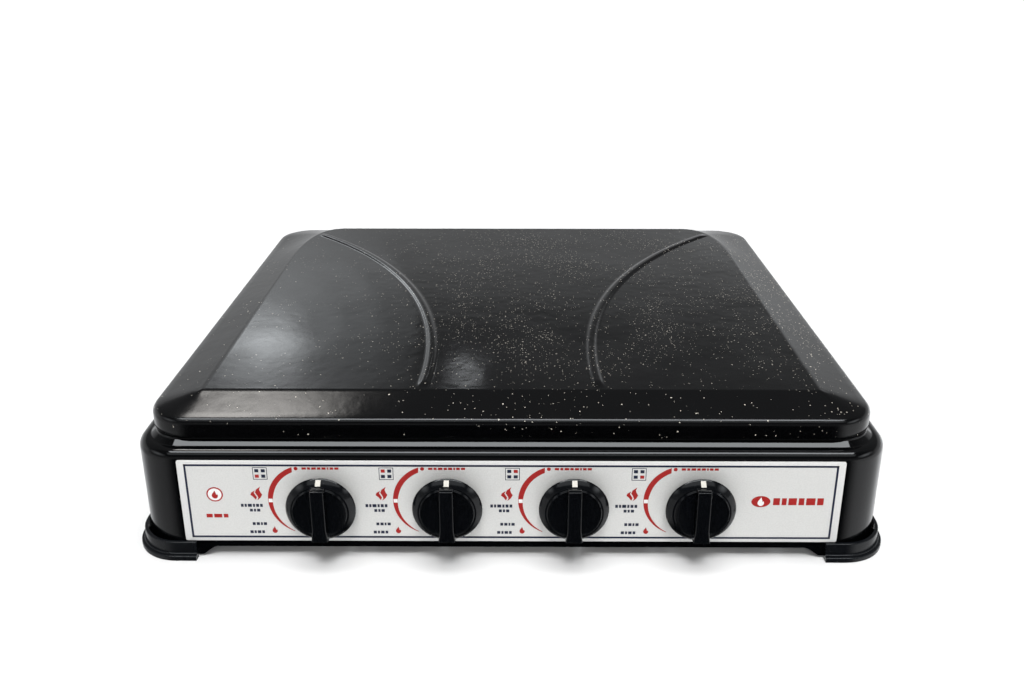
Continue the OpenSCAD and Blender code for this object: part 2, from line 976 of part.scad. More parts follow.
body_shell();
lid_shell();
lid_hinge_leaves();
hinge_brackets();
hinge_pins();
hinge_screws();
leaf_screws();
lid_buffers();
control_panel();
knob(0);  // knob_1
knob(1);  // knob_2
knob(2);  // knob_3
knob(3);  // knob_4
tap_spindle(0);  // tap_spindle_1
tap_spindle(1);  // tap_spindle_2
tap_spindle(2);  // tap_spindle_3
tap_spindle(3);  // tap_spindle_4
tap_plug(0);  // tap_plug_1
tap_plug(1);  // tap_plug_2
tap_plug(2);  // tap_plug_3
tap_plug(3);  // tap_plug_4
tap_body(0);  // tap_body_1
tap_body(1);  // tap_body_2
tap_body(2);  // tap_body_3
tap_body(3);  // tap_body_4
tap_bonnets();
tap_springs();
gas_rail();
rail_end_plug();
rail_brackets();
deck_screws();
supply_pipe();
inlet_connector();
inlet_locknut();
feed_pipe(burners[0]);  // feed_pipe_1
feed_pipe(burners[1]);  // feed_pipe_2
feed_pipe(burners[2]);  // feed_pipe_3
feed_pipe(burners[3]);  // feed_pipe_4
pipe_nuts();
jet_holders();
gas_jets();
burner_cup(burners[0]);  // burner_cup_1
burner_cup(burners[1]);  // burner_cup_2
burner_cup(burners[2]);  // burner_cup_3
burner_cup(burners[3]);  // burner_cup_4
burner_crown(burners[0]);  // burner_crown_1
burner_crown(burners[1]);  // burner_crown_2
burner_crown(burners[2]);  // burner_crown_3
burner_crown(burners[3]);  // burner_crown_4
burner_cap(burners[0]);  // burner_cap_1
burner_cap(burners[1]);  // burner_cap_2
burner_cap(burners[2]);  // burner_cap_3
burner_cap(burners[3]);  // burner_cap_4
pan_support(-1);  // pan_support_left
pan_support(1);  // pan_support_right
foot(-1, -1);  // foot_front_left
foot(1, -1);  // foot_front_right
foot(-1, 1);  // foot_rear_left
foot(1, 1);  // foot_rear_right
foot_screws();
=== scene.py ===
import math

import bpy
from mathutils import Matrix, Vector


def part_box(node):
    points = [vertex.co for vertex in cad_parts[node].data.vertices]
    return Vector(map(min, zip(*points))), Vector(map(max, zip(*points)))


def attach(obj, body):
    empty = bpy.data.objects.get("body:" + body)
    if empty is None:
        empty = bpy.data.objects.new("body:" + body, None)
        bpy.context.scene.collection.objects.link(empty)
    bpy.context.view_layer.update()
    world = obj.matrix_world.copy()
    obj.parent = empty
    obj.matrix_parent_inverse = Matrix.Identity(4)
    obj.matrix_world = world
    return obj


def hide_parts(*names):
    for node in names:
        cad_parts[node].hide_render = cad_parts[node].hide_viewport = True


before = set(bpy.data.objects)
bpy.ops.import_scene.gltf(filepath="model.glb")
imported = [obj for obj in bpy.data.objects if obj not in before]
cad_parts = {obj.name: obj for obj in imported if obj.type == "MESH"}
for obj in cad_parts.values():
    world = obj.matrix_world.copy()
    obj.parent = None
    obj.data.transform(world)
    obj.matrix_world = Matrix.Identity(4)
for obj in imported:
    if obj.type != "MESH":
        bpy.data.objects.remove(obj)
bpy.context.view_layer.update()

print("frame loaded:", len(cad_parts), "nodes")

mm = 0.001
bodyLow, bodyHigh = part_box("body_shell")
lidLow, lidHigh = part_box("lid_shell")
bodyWidth = bodyHigh.x - bodyLow.x
bodyDepth = bodyHigh.y - bodyLow.y


# ---- small helpers for working as by hand ----

def calm():
    # back to object mode with nothing selected
    if bpy.context.object and bpy.context.object.mode != "OBJECT":
        bpy.ops.object.mode_set(mode="OBJECT")
    bpy.ops.object.select_all(action="DESELECT")


def only(obj):
    calm()
    obj.select_set(True)
    bpy.context.view_layer.objects.active = obj


def settle(obj, name):
    # names a new object and puts its place into its mesh
    obj.name = name
    only(obj)
    bpy.ops.object.transform_apply(location=True, rotation=True, scale=True)
    return obj


def addBlock(name, low, high):
    calm()
    size = [b - a for a, b in zip(low, high)]
    bpy.ops.mesh.primitive_cube_add(size=1, location=[(a + b) / 2 for a, b in zip(low, high)])
    bpy.context.object.scale = size
    return settle(bpy.context.object, name)


def addRod(name, radius, start, end, sides=48):
    # a closed cylinder between two points
    start, end = Vector(start), Vector(end)
    turn = (end - start).to_track_quat("Z", "Y").to_euler()
    calm()
    bpy.ops.mesh.primitive_cylinder_add(
        vertices=sides, radius=radius, depth=(end - start).length, location=(start + end) / 2, rotation=turn)
    return settle(bpy.context.object, name)


def pickEdges(obj, test):
    # edit mode with the edges whose two ends pass the test
    only(obj)
    bpy.ops.object.mode_set(mode="EDIT")
    bpy.ops.mesh.select_mode(type="EDGE")
    bpy.ops.mesh.select_all(action="DESELECT")
    bpy.ops.object.mode_set(mode="OBJECT")
    points = obj.data.vertices
    for edge in obj.data.edges:
        edge.select = test(points[edge.vertices[0]].co, points[edge.vertices[1]].co)
    bpy.ops.object.mode_set(mode="EDIT")


def pickFaces(obj, test):
    # edit mode with the faces whose middle and normal pass the test
    only(obj)
    bpy.ops.object.mode_set(mode="EDIT")
    bpy.ops.mesh.select_mode(type="FACE")
    bpy.ops.mesh.select_all(action="DESELECT")
    bpy.ops.object.mode_set(mode="OBJECT")
    for face in obj.data.polygons:
        face.select = test(face.center, face.normal)
    bpy.ops.object.mode_set(mode="EDIT")


def bevelEdges(obj, test, width, segments, profile=0.5):
    pickEdges(obj, test)
    bpy.ops.mesh.bevel(offset=width, segments=segments, profile=profile, affect="EDGES")
    bpy.ops.object.mode_set(mode="OBJECT")


def addModifier(obj, kind, **settings):
    # adds a modifier and applies it straight away
    only(obj)
    modifier = obj.modifiers.new(kind.lower(), kind)
    for key, value in settings.items():
        setattr(modifier, key, value)
    bpy.ops.object.modifier_apply(modifier=modifier.name)
    return obj


def cutWith(obj, cutter, operation="DIFFERENCE"):
    addModifier(obj, "BOOLEAN", operation=operation, object=cutter, solver="EXACT")
    bpy.data.objects.remove(cutter)
    return obj


def smooth(obj, angle=35):
    only(obj)
    bpy.ops.object.shade_smooth_by_angle(angle=math.radians(angle))
    return obj


def evenNormals(obj):
    # flat faces stay flat beside rounded edges
    return addModifier(obj, "WEIGHTED_NORMAL", keep_sharp=True, weight=100)


def outward(obj):
    only(obj)
    bpy.ops.object.mode_set(mode="EDIT")
    bpy.ops.mesh.select_all(action="SELECT")
    bpy.ops.mesh.remove_doubles(threshold=1e-6)
    bpy.ops.mesh.normals_make_consistent(inside=False)
    bpy.ops.object.mode_set(mode="OBJECT")
    return obj


def addTurned(name, profile, place, axis="Z", steps=96):
    # a lathe piece: profile is a list of (radius, height), spun about an axis through place
    calm()
    bpy.ops.mesh.primitive_plane_add(size=0.001, location=(profile[0][0], 0, profile[0][1]))
    obj = bpy.context.object
    bpy.ops.object.transform_apply(location=True, rotation=True, scale=True)
    bpy.ops.object.mode_set(mode="EDIT")
    bpy.ops.mesh.select_mode(type="VERT")
    bpy.ops.mesh.select_all(action="SELECT")
    bpy.ops.mesh.merge(type="CENTER")
    for (r0, h0), (r1, h1) in zip(profile, profile[1:]):
        bpy.ops.mesh.extrude_region_move(TRANSFORM_OT_translate={"value": (r1 - r0, 0, h1 - h0)})
    bpy.ops.mesh.select_all(action="SELECT")
    bpy.ops.mesh.spin(steps=steps, angle=2 * math.pi, center=(0, 0, 0), axis=(0, 0, 1))
    bpy.ops.object.mode_set(mode="OBJECT")
    outward(obj)
    if axis == "-Y":
        obj.rotation_euler = (math.pi / 2, 0, 0)
    obj.location = place
    return settle(obj, name)


def copyOf(obj, name, shift=(0, 0, 0)):
    # a copy with its own mesh, moved by shift
    only(obj)
    bpy.ops.object.duplicate(linked=False)
    twin = bpy.context.object
    twin.location = shift
    return settle(twin, name)


def mirrored(obj, name, x=False, y=False):
    only(obj)
    bpy.ops.object.duplicate(linked=False)
    twin = bpy.context.object
    twin.scale = (-1 if x else 1, -1 if y else 1, 1)
    settle(twin, name)
    return outward(twin)


def joined(name, pieces):
    calm()
    for piece in pieces:
        piece.select_set(True)
    bpy.context.view_layer.objects.active = pieces[0]
    bpy.ops.object.join()
    pieces[0].name = name
    return pieces[0]


def dress(obj, material, body, slot, *nodes):
    # material, body and the CAD nodes that the piece stands for
    obj.data.materials.clear()
    obj.data.materials.append(material)
    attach(obj, body)
    if nodes:
        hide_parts(*nodes)
    return obj


def edgeDistance(x, y, width, depth, radius):
    # how far a point lies inside a rounded rectangle's outline
    dx = abs(x) - (width / 2 - radius)
    dy = abs(y) - (depth / 2 - radius)
    if dx > 0 and dy > 0:
        return radius - math.hypot(dx, dy)
    return radius - max(dx, dy)


# ---- materials ----

def newMaterial(name, colour, roughness, metallic=0.0, coat=0.0):
    material = bpy.data.materials.new(name)
    material.use_nodes = True
    nodes = material.node_tree.nodes
    shader = nodes["Principled BSDF"]
    shader.inputs["Base Color"].default_value = (*colour, 1)
    shader.inputs["Roughness"].default_value = roughness
    shader.inputs["Metallic"].default_value = metallic
    shader.inputs["Coat Weight"].default_value = coat
    shader.inputs["Coat Roughness"].default_value = 0.03
    return material, nodes, material.node_tree.links, shader


def place(nodes, links, scale=(1, 1, 1)):
    # object coordinates through a mapping
    spot = nodes.new("ShaderNodeTexCoord")
    mapping = nodes.new("ShaderNodeMapping")
    mapping.inputs["Scale"].default_value = scale
    links.new(spot.outputs["Object"], mapping.inputs["Vector"])
    return mapping.outputs["Vector"]


def noise(nodes, links, vector, scale, detail=3.0):
    texture = nodes.new("ShaderNodeTexNoise")
    texture.inputs["Scale"].default_value = scale
    texture.inputs["Detail"].default_value = detail
    links.new(vector, texture.inputs["Vector"])
    return texture.outputs["Fac"]


def span(nodes, links, value, low, high, to=(0, 1)):
    # map range from low..high to to[0]..to[1]
    ramp = nodes.new("ShaderNodeMapRange")
    ramp.interpolation_type = "SMOOTHSTEP"
    ramp.inputs["From Min"].default_value = low
    ramp.inputs["From Max"].default_value = high
    ramp.inputs["To Min"].default_value = to[0]
    ramp.inputs["To Max"].default_value = to[1]
    links.new(value, ramp.inputs["Value"])
    return ramp.outputs["Result"]


def maths(nodes, links, kind, a, b=None):
    node = nodes.new("ShaderNodeMath")
    node.operation = kind
    for index, value in enumerate((a, b)):
        if value is None:
            continue
        if isinstance(value, (int, float)):
            node.inputs[index].default_value = value
        else:
            links.new(value, node.inputs[index])
    return node.outputs["Value"]


def bump(nodes, links, shader, height, strength, distance):
    node = nodes.new("ShaderNodeBump")
    node.inputs["Strength"].default_value = strength
    node.inputs["Distance"].default_value = distance
    links.new(height, node.inputs["Height"])
    links.new(node.outputs["Normal"], shader.inputs["Normal"])


def mixColours(nodes, links, factor, a, b):
    node = nodes.new("ShaderNodeMix")
    node.data_type = "RGBA"
    links.new(factor, node.inputs[0])
    for socket, value in ((node.inputs[6], a), (node.inputs[7], b)):
        if isinstance(value, tuple):
            socket.default_value = (*value, 1)
        else:
            links.new(value, socket)
    return node.outputs[2]


enamel = {
    "black": (0.0011, 0.0012, 0.0015),
    "roughness": 0.055,
    "orangePeel": 260.0,      # ripples per metre
    "fleck": (0.62, 0.58, 0.50),
    "fleckCells": 560.0,      # cells per metre that may hold a fleck
    "fleckShare": (0.09, 0.42),
}


def makeBodyEnamel():
    material, nodes, links, shader = newMaterial("bodyEnamel", enamel["black"], enamel["roughness"])
    vector = place(nodes, links)
    peel = noise(nodes, links, vector, enamel["orangePeel"], 2.0)
    wear = noise(nodes, links, vector, 9.0, 4.0)
    links.new(span(nodes, links, wear, 0.3, 0.8, (0.045, 0.085)), shader.inputs["Roughness"])
    bump(nodes, links, shader, peel, 0.05, 0.0006)
    return material


def makeLidEnamel():
    # black enamel with cream flecks, crowded to the right of the middle and sparse elsewhere
    material, nodes, links, shader = newMaterial("lidEnamel", enamel["black"], enamel["roughness"])
    vector = place(nodes, links)
    split = nodes.new("ShaderNodeSeparateXYZ")
    links.new(vector, split.inputs["Vector"])
    side = span(nodes, links, split.outputs["X"], -0.16, 0.02, enamel["fleckShare"])
    front = span(nodes, links, split.outputs["Y"], -0.24, -0.06, (0.35, 1.0))
    back = span(nodes, links, split.outputs["Y"], 0.12, 0.24, (1.0, 0.45))
    crowd = span(nodes, links, noise(nodes, links, vector, 14.0, 5.0), 0.36, 0.66, (0.25, 1.5))
    share = maths(nodes, links, "MULTIPLY", side, crowd)
    share = maths(nodes, links, "MULTIPLY", share, maths(nodes, links, "MULTIPLY", front, back))
    warp = nodes.new("ShaderNodeTexNoise")
    warp.inputs["Scale"].default_value = 420
    links.new(vector, warp.inputs["Vector"])
    drift = nodes.new("ShaderNodeVectorMath")
    drift.operation = "MULTIPLY_ADD"
    drift.inputs[1].default_value = (0.0009, 0.0009, 0.0009)
    links.new(warp.outputs["Color"], drift.inputs[0])
    links.new(vector, drift.inputs[2])
    fleckMask = None
    for cells, size in ((enamel["fleckCells"], 0.27), (enamel["fleckCells"] * 0.62, 0.22)):
        cell = nodes.new("ShaderNodeTexVoronoi")
        cell.inputs["Scale"].default_value = cells
        links.new(drift.outputs["Vector"], cell.inputs["Vector"])
        luck = nodes.new("ShaderNodeSeparateColor")
        links.new(cell.outputs["Color"], luck.inputs["Color"])
        present = maths(nodes, links, "LESS_THAN", luck.outputs["Red"], share)
        reach = span(nodes, links, luck.outputs["Green"], 0.0, 1.0, (size * 0.3, size))
        near = maths(nodes, links, "LESS_THAN", cell.outputs["Distance"], reach)
        mask = maths(nodes, links, "MULTIPLY", maths(nodes, links, "MULTIPLY", present, near),
                     span(nodes, links, luck.outputs["Blue"], 0.0, 1.0, (0.25, 1.0)))
        fleckMask = mask if fleckMask is None else maths(nodes, links, "MAXIMUM", fleckMask, mask)
    facing = nodes.new("ShaderNodeSeparateXYZ")
    form = nodes.new("ShaderNodeTexCoord")
    links.new(form.outputs["Normal"], facing.inputs["Vector"])
    outside = maths(nodes, links, "GREATER_THAN", facing.outputs["Z"], -0.2)
    fleckMask = maths(nodes, links, "MULTIPLY", fleckMask, outside)
    colour = mixColours(nodes, links, fleckMask, enamel["black"], enamel["fleck"])
    links.new(colour, shader.inputs["Base Color"])
    peel = noise(nodes, links, vector, enamel["orangePeel"] * 0.45, 2.0)
    sway = noise(nodes, links, vector, 14.0, 3.0)
    height = maths(nodes, links, "ADD", peel, maths(nodes, links, "MULTIPLY", sway, 7.0))
    haze = noise(nodes, links, vector, 7.0, 5.0)
    links.new(span(nodes, links, haze, 0.35, 0.7, (0.07, 0.20)), shader.inputs["Roughness"])
    bump(nodes, links, shader, height, 0.09, 0.0008)
    return material


def makePlastic(name, colour, roughness, grain):
    material, nodes, links, shader = newMaterial(name, colour, roughness)
    vector = place(nodes, links)
    links.new(span(nodes, links, noise(nodes, links, vector, 40.0), 0.3, 0.7, (roughness * 0.8, roughness * 1.3)),
              shader.inputs["Roughness"])
    bump(nodes, links, shader, noise(nodes, links, vector, grain, 2.0), 0.08, 0.0002)
    return material


def makeMetal(name, colour, roughness, grain=(1, 1, 1), tint=0.85):
    # brushed or machined metal with stains that vary its colour
    material, nodes, links, shader = newMaterial(name, colour, roughness, metallic=1.0)
    vector = place(nodes, links, grain)
    streak = noise(nodes, links, vector, 350.0, 3.0)
    stain = noise(nodes, links, place(nodes, links), 30.0, 4.0)
    dark = tuple(c * tint for c in colour)
    stained = mixColours(nodes, links, span(nodes, links, stain, 0.35, 0.7), dark, colour)
    links.new(stained, shader.inputs["Base Color"])
    brushed = span(nodes, links, streak, 0.3, 0.7, (roughness * 0.75, roughness * 1.3))
    links.new(brushed, shader.inputs["Roughness"])
    bump(nodes, links, shader, streak, 0.12, 0.0002)
    return material


def makePrint(name, colour, roughness=0.32):
    material, nodes, links, shader = newMaterial(name, colour, roughness, coat=0.25)
    vector = place(nodes, links)
    grain = noise(nodes, links, vector, 900.0, 2.0)
    tone = tuple(c * 0.93 for c in colour)
    inked = mixColours(nodes, links, span(nodes, links, grain, 0.3, 0.7), tone, colour)
    links.new(inked, shader.inputs["Base Color"])
    bump(nodes, links, shader, grain, 0.04, 0.0002)
    return material


materials = {
    "body": makeBodyEnamel(),
    "lid": makeLidEnamel(),
    "knob": makePlastic("knobPlastic", (0.0022, 0.0026, 0.0034), 0.12, 500.0),
    "knobMark": makePlastic("knobMark", (0.55, 0.53, 0.48), 0.4, 500.0),
    "foot": makePlastic("footPlastic", (0.0035, 0.0042, 0.0055), 0.22, 900.0),
    "rubber": makePlastic("bufferRubber", (0.02, 0.02, 0.02), 0.7, 1200.0),
    "steel": makeMetal("zincSteel", (0.55, 0.56, 0.58), 0.35),
    "alloy": makeMetal("castAlloy", (0.62, 0.63, 0.64), 0.42),
    "brass": makeMetal("brass", (0.70, 0.52, 0.24), 0.3),
    "cap": makePlastic("capEnamel", (0.012, 0.012, 0.013), 0.3, 700.0),
    "wire": makePlastic("wireEnamel", (0.010, 0.010, 0.011), 0.25, 500.0),
    "printField": makePrint("printField", (0.62, 0.62, 0.605)),
    "printMargin": makePrint("printMargin", (0.64, 0.64, 0.63)),
    "printNavy": makePrint("printNavy", (0.012, 0.018, 0.045)),
    "printRed": makePrint("printRed", (0.37, 0.012, 0.010)),
    "printWhite": makePrint("printWhite", (0.82, 0.82, 0.81)),
}
print("materials ready:", len(materials))


# ---- body ----

panelLow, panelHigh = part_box("control_panel")
panelFront = panelLow.y
knobZ = (panelLow.z + panelHigh.z) / 2
knobX = [(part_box(f"knob_{i}")[0].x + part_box(f"knob_{i}")[1].x) / 2 for i in range(1, 5)]

bodyPress = {
    "corner": 38 * mm,
    "ledge": 90 * mm,
    "shoulder": 8 * mm,
    # place and cup radius of each burner, in metres
    "burners": [(-0.127, -0.108, 0.042), (-0.127, 0.108, 0.033), (0.127, 0.108, 0.033),
                (0.127, -0.108, 0.025)],
    "cupGap": 0.5 * mm,
    "stemHole": 7 * mm,
    "slopeIn": 8.8 * mm,      # where the slope up to the rim begins
    "slopeTop": 93.4 * mm,
    "stepIn": 13 * mm,
    "rim": 95.4 * mm,
    "deckIn": 24 * mm,
    "deck": 84 * mm,
    "sheet": 1.2 * mm,
    "lowerEdge": 8.8 * mm,
    "archEnd": 62 * mm,
    "archRun": 17 * mm,
}


def insideOf(inset, height):
    # test for an edge that lies on the outline at that inset and height
    def test(a, b):
        return all(
            abs(p.z - height) < 0.2 * mm
            and abs(edgeDistance(p.x, p.y, bodyWidth, bodyDepth, bodyPress["corner"]) - inset) < 0.3 * mm
            for p in (a, b))
    return test


def makeArchCutter(length, halfRun, alongX):
    # bar with an S-curved end, which lifts the lower edge between two feet
    part = bodyPress
    calm()
    steps = 28
    bpy.ops.mesh.primitive_grid_add(x_subdivisions=steps, y_subdivisions=1, size=2)
    cutter = bpy.context.object
    for vertex in cutter.data.vertices:
        side = 1 if vertex.co.x > 0 else -1
        reach = abs(vertex.co.x)
        run = max(0.0, (reach - 0.4) / 0.6)
        x = side * ((halfRun - 1 * mm) * reach / 0.4 if reach < 0.4 else halfRun + part["archRun"] * run)
        top = part["lowerEdge"] * (1 + math.cos(math.pi * run)) / 2
        z = top if vertex.co.y > 0 else -2 * mm
        vertex.co = (x, -length, z)
    bpy.ops.object.mode_set(mode="EDIT")
    bpy.ops.mesh.select_all(action="SELECT")
    bpy.ops.mesh.extrude_region_move(TRANSFORM_OT_translate={"value": (0, 2 * length, 0)})
    bpy.ops.object.mode_set(mode="OBJECT")
    if alongX:
        cutter.rotation_euler = (0, 0, math.pi / 2)
    settle(cutter, "archCutter")
    return outward(cutter)


def makeBody():
    part = bodyPress
    w, d = bodyWidth / 2, bodyDepth / 2
    shell = addBlock("bodyShell", (-w, -d, bodyLow.z), (w, d, part["ledge"]))
    bevelEdges(shell, lambda a, b: abs(a.z - b.z) > 10 * mm, part["corner"], 16)
    pickFaces(shell, lambda c, n: n.z > 0.9)
    bpy.ops.mesh.inset(thickness=part["slopeIn"], use_even_offset=True)
    bpy.ops.mesh.inset(thickness=part["stepIn"] - part["slopeIn"], depth=0, use_even_offset=True)
    bpy.ops.transform.translate(value=(0, 0, part["slopeTop"] - part["ledge"]))
    bpy.ops.mesh.extrude_region_move(TRANSFORM_OT_translate={"value": (0, 0, part["rim"] - part["slopeTop"])})
    bpy.ops.mesh.inset(thickness=part["deckIn"] - part["stepIn"], use_even_offset=True)
    bpy.ops.mesh.extrude_region_move(TRANSFORM_OT_translate={"value": (0, 0, part["deck"] - part["rim"])})
    bpy.ops.object.mode_set(mode="OBJECT")
    pickFaces(shell, lambda c, n: n.z < -0.9)
    bpy.ops.mesh.delete(type="FACE")
    bpy.ops.object.mode_set(mode="OBJECT")
    bevelEdges(shell, insideOf(0, part["ledge"]), part["shoulder"], 8)
    bevelEdges(shell, insideOf(part["slopeIn"], part["ledge"]), 0.7 * mm, 3)
    bevelEdges(shell, insideOf(part["stepIn"], part["rim"]), 1.5 * mm, 4)
    bevelEdges(shell, insideOf(part["deckIn"], part["rim"]), 2 * mm, 4)
    bevelEdges(shell, insideOf(part["deckIn"], part["deck"]), 3.5 * mm, 5)
    addModifier(shell, "SOLIDIFY", thickness=part["sheet"], offset=-1, use_even_offset=True)
    cutWith(shell, makeArchCutter(bodyDepth, w - part["archEnd"], False))
    cutWith(shell, makeArchCutter(bodyWidth, d - part["archEnd"], True))
    deck, wall = part["deck"], -bodyDepth / 2
    for x, y, radius in part["burners"]:
        cutWith(shell, addRod("cupHole", radius + part["cupGap"],
                              (x, y, deck - 6 * mm), (x, y, deck + 6 * mm), 96))
    for x in knobX:
        cutWith(shell, addRod("stemHole", part["stemHole"],
                              (x, wall - 10 * mm, knobZ), (x, wall + 6 * mm, knobZ), 48))
    return shell


body = makeBody()
smooth(body, 40)
evenNormals(body)
dress(body, materials["body"], "root", "body_enamel", "body_shell")
print("body pressed")


# ---- lid ----

lidPress = {
    "corner": 35 * mm,
    "topRound": 6 * mm,
    "startInset": 4 * mm,     # where the flat grid stops and the rounded edge begins
    "edge": 111.6 * mm,
    "field": 121.5 * mm,
    "creaseX": 236 * mm,
    "creaseFront": -215 * mm,
    "creaseBack": 215 * mm,
    "cornerX": 40 * mm,       # half axes of the field's rear corners
    "cornerY": 110 * mm,
    "arcRadius": 487 * mm,
    "arcX": 553 * mm,
    "arcY": -166 * mm,
    "arcHigh": 1.15 * mm,
    "arcHalf": 4.6 * mm,
    "soft": 0.9 * mm,
}
lidWidth = lidHigh.x - lidLow.x
lidDepth = 490 * mm


def fieldDistance(x, y):
    # how far a point lies outside the raised field
    part = lidPress
    ax = abs(x)
    overX = ax - part["creaseX"]
    overFront = part["creaseFront"] - y
    cx = part["creaseX"] - part["cornerX"]
    cy = part["creaseBack"] - part["cornerY"]
    if ax > cx and y > cy:
        dx, dy = ax - cx, y - cy
        k = ((dx / part["cornerX"]) ** 2.5 + (dy / part["cornerY"]) ** 2.5) ** 0.4
        return math.hypot(dx, dy) * (1 - 1 / max(k, 0.01))
    if overX > 0 and overFront > 0:
        return math.hypot(overX, overFront)
    return max(overX, overFront, y - part["creaseBack"])


def arcDistance(x, y):
    # distance from the middle line of the nearer arc, and how far along it from 0 to 1
    part = lidPress
    dx, dy = part["arcX"] - abs(x), y - part["arcY"]
    angle = math.degrees(math.atan2(dy, dx))
    return abs(math.hypot(dx, dy) - part["arcRadius"]), (angle + 5.5) / 53


def lidHeight(x, y):
    part = lidPress
    inside = max(0.0, edgeDistance(x, y, lidWidth, lidDepth, part["corner"]) - part["startInset"])
    outside = max(0.0, fieldDistance(x, y))
    share = inside / (inside + outside) if outside > 0 else 1 + min(0.0, fieldDistance(x, y)) / (-24 * mm)
    facet = part["edge"] + (part["field"] - part["edge"]) * share
    k = part["soft"]
    blend = max(0.0, min(1.0, 0.5 + 0.5 * (part["field"] - facet) / k))
    height = part["field"] * (1 - blend) + facet * blend - k * blend * (1 - blend) * 0.5
    away, along = arcDistance(x, y)
    if away < part["arcHalf"] and 0 < along < 1:
        ends = min(1.0, along / 0.03, (1 - along) / 0.03)
        ends = ends * ends * (3 - 2 * ends)
        flat = min(1.0, max(0.0, (part["arcHalf"] - away) / (2.6 * mm)))
        height += part["arcHigh"] * ends * flat * flat * (3 - 2 * flat)
    return height


def outwardAt(x, y):
    # plan direction that points straight out of the lid's edge
    cx, cy = lidWidth / 2 - lidPress["corner"], lidDepth / 2 - lidPress["corner"]
    dx, dy = abs(x) - cx, abs(y) - cy
    sx, sy = (1 if x > 0 else -1), (1 if y > 0 else -1)
    if dx > 0 and dy > 0:
        length = math.hypot(dx, dy)
        return sx * dx / length, sy * dy / length
    return (sx, 0) if dx > dy else (0, sy)


def makeLid():
    part = lidPress
    w = lidWidth / 2 - part["startInset"]
    d = lidDepth / 2 - part["startInset"]
    r = part["corner"] - part["startInset"]
    calm()
    bpy.ops.mesh.primitive_grid_add(x_subdivisions=108, y_subdivisions=96, size=2)
    lid = bpy.context.object
    lid.scale = (w, d, 1)
    settle(lid, "lidShell")

    def nearDetail(c, n):
        away, along = arcDistance(c.x, c.y)
        return (away < 9 * mm and -0.03 < along < 1.03) or abs(fieldDistance(c.x, c.y)) < 6 * mm
    pickFaces(lid, nearDetail)
    bpy.ops.mesh.subdivide(number_cuts=3)
    bpy.ops.object.mode_set(mode="OBJECT")
    for vertex in lid.data.vertices:
        x, y = vertex.co.x, vertex.co.y
        dx, dy = abs(x) - (w - r), abs(y) - (d - r)
        if dx > 0 and dy > 0:
            # the square corner of the grid is drawn in to a quarter disc
            reach, angle = max(dx, dy), math.atan2(dy, dx)
            x = math.copysign(w - r + reach * math.cos(angle), x)
            y = math.copysign(d - r + reach * math.sin(angle), y)
        vertex.co = (x, y, lidHeight(x, y))
    angles = [35, 50, 65, 80, 90]
    rings = [(part["topRound"] * (1 - math.sin(math.radians(a))),
              part["edge"] - part["topRound"] * (math.cos(math.radians(19)) - math.cos(math.radians(a))))
             for a in angles]
    rings += [(0, 101 * mm), (0, 97 * mm), (0.3 * mm, lidLow.z + 0.4 * mm), (1.0 * mm, lidLow.z)]
    inset = part["startInset"]
    for nextInset, height in rings:
        only(lid)
        bpy.ops.object.mode_set(mode="EDIT")
        bpy.ops.mesh.select_mode(type="EDGE")
        bpy.ops.mesh.select_all(action="DESELECT")
        bpy.ops.mesh.select_non_manifold(extend=False)
        bpy.ops.mesh.extrude_region_move(TRANSFORM_OT_translate={"value": (0, 0, 0)})
        bpy.ops.object.mode_set(mode="OBJECT")
        for vertex in lid.data.vertices:
            if vertex.select:
                nx, ny = outwardAt(vertex.co.x, vertex.co.y)
                step = inset - nextInset
                vertex.co = (vertex.co.x + nx * step, vertex.co.y + ny * step, height)
        inset = nextInset
    only(lid)
    bpy.ops.object.mode_set(mode="EDIT")
    bpy.ops.mesh.select_all(action="SELECT")
    bpy.ops.mesh.normals_make_consistent(inside=False)
    bpy.ops.object.mode_set(mode="OBJECT")
    middle = min(lid.data.polygons, key=lambda f: f.center.x ** 2 + f.center.y ** 2)
    if middle.normal.z < 0:
        lid.data.flip_normals()
    addModifier(lid, "SOLIDIFY", thickness=1.2 * mm, offset=-1, use_even_offset=True)
    return lid


lid = makeLid()
smooth(lid, 50)
dress(lid, materials["lid"], "lid", "lid_enamel", "lid_shell")
print("lid pressed:", len(lid.data.polygons), "faces")


# ---- printed panel ----

panelPrint = {
    "hole": 7 * mm,
    "margin": 5.2 * mm,
    "marginLow": 2.8 * mm,
    "marginHigh": 2.9 * mm,
    "line": 1.6 * mm,
    "film": 0.06 * mm,
    "crescentBack": 11.4 * mm,
    "crescentUp": 1.4 * mm,
    "crescentRadius": 29.8 * mm,
    "crescentWide": 4.1 * mm,
    "crescentOuter": (109.8, 137.3),   # first angle and sweep, in degrees
    "crescentInner": (113.2, 133.9),
    "icon": (-45.4 * mm, 24.0 * mm),   # places below are measured from a knob's axis
    "iconHalf": (5.4 * mm, 5.2 * mm),
    "iconTile": (2.4 * mm, 2.3 * mm),
    "bigFlames": [(-49.8 * mm, "right"), (-49.0 * mm, "left")],
    "bigFlameUp": 6.9 * mm,
    "smallFlame": (-38.2 * mm, -24.6 * mm),
    "dot": (-18.6 * mm, 28.2 * mm),
    "whiteMark": (-39.3 * mm, 0.9 * mm),
    "ringIn": 26 * mm,
    "badgeIn": 60.3 * mm,
}
# rows of dashes by each knob: place, widths and height in millimetres
dashRows = [
    (-62, -3.4, (2.0, 1.6, 3.0, 1.6, 2.2, 2.0), 2.6),
    (-55.6, -7.6, (2.2, 1.6, 2.4), 2.4),
    (-54.6, -19.4, (2.2, 2.4, 1.4, 2.4), 2.4),
    (-57, -26.6, (2.4, 1.6, 2.6, 2.0), 2.4),
]


def addTile(x, z, w, h, layer=1):
    # a small printed block on the panel
    film = panelPrint["film"]
    return addBlock("tile", (x - w / 2, panelFront - layer * film, z - h / 2),
                    (x + w / 2, panelFront + 0.02 * mm, z + h / 2))


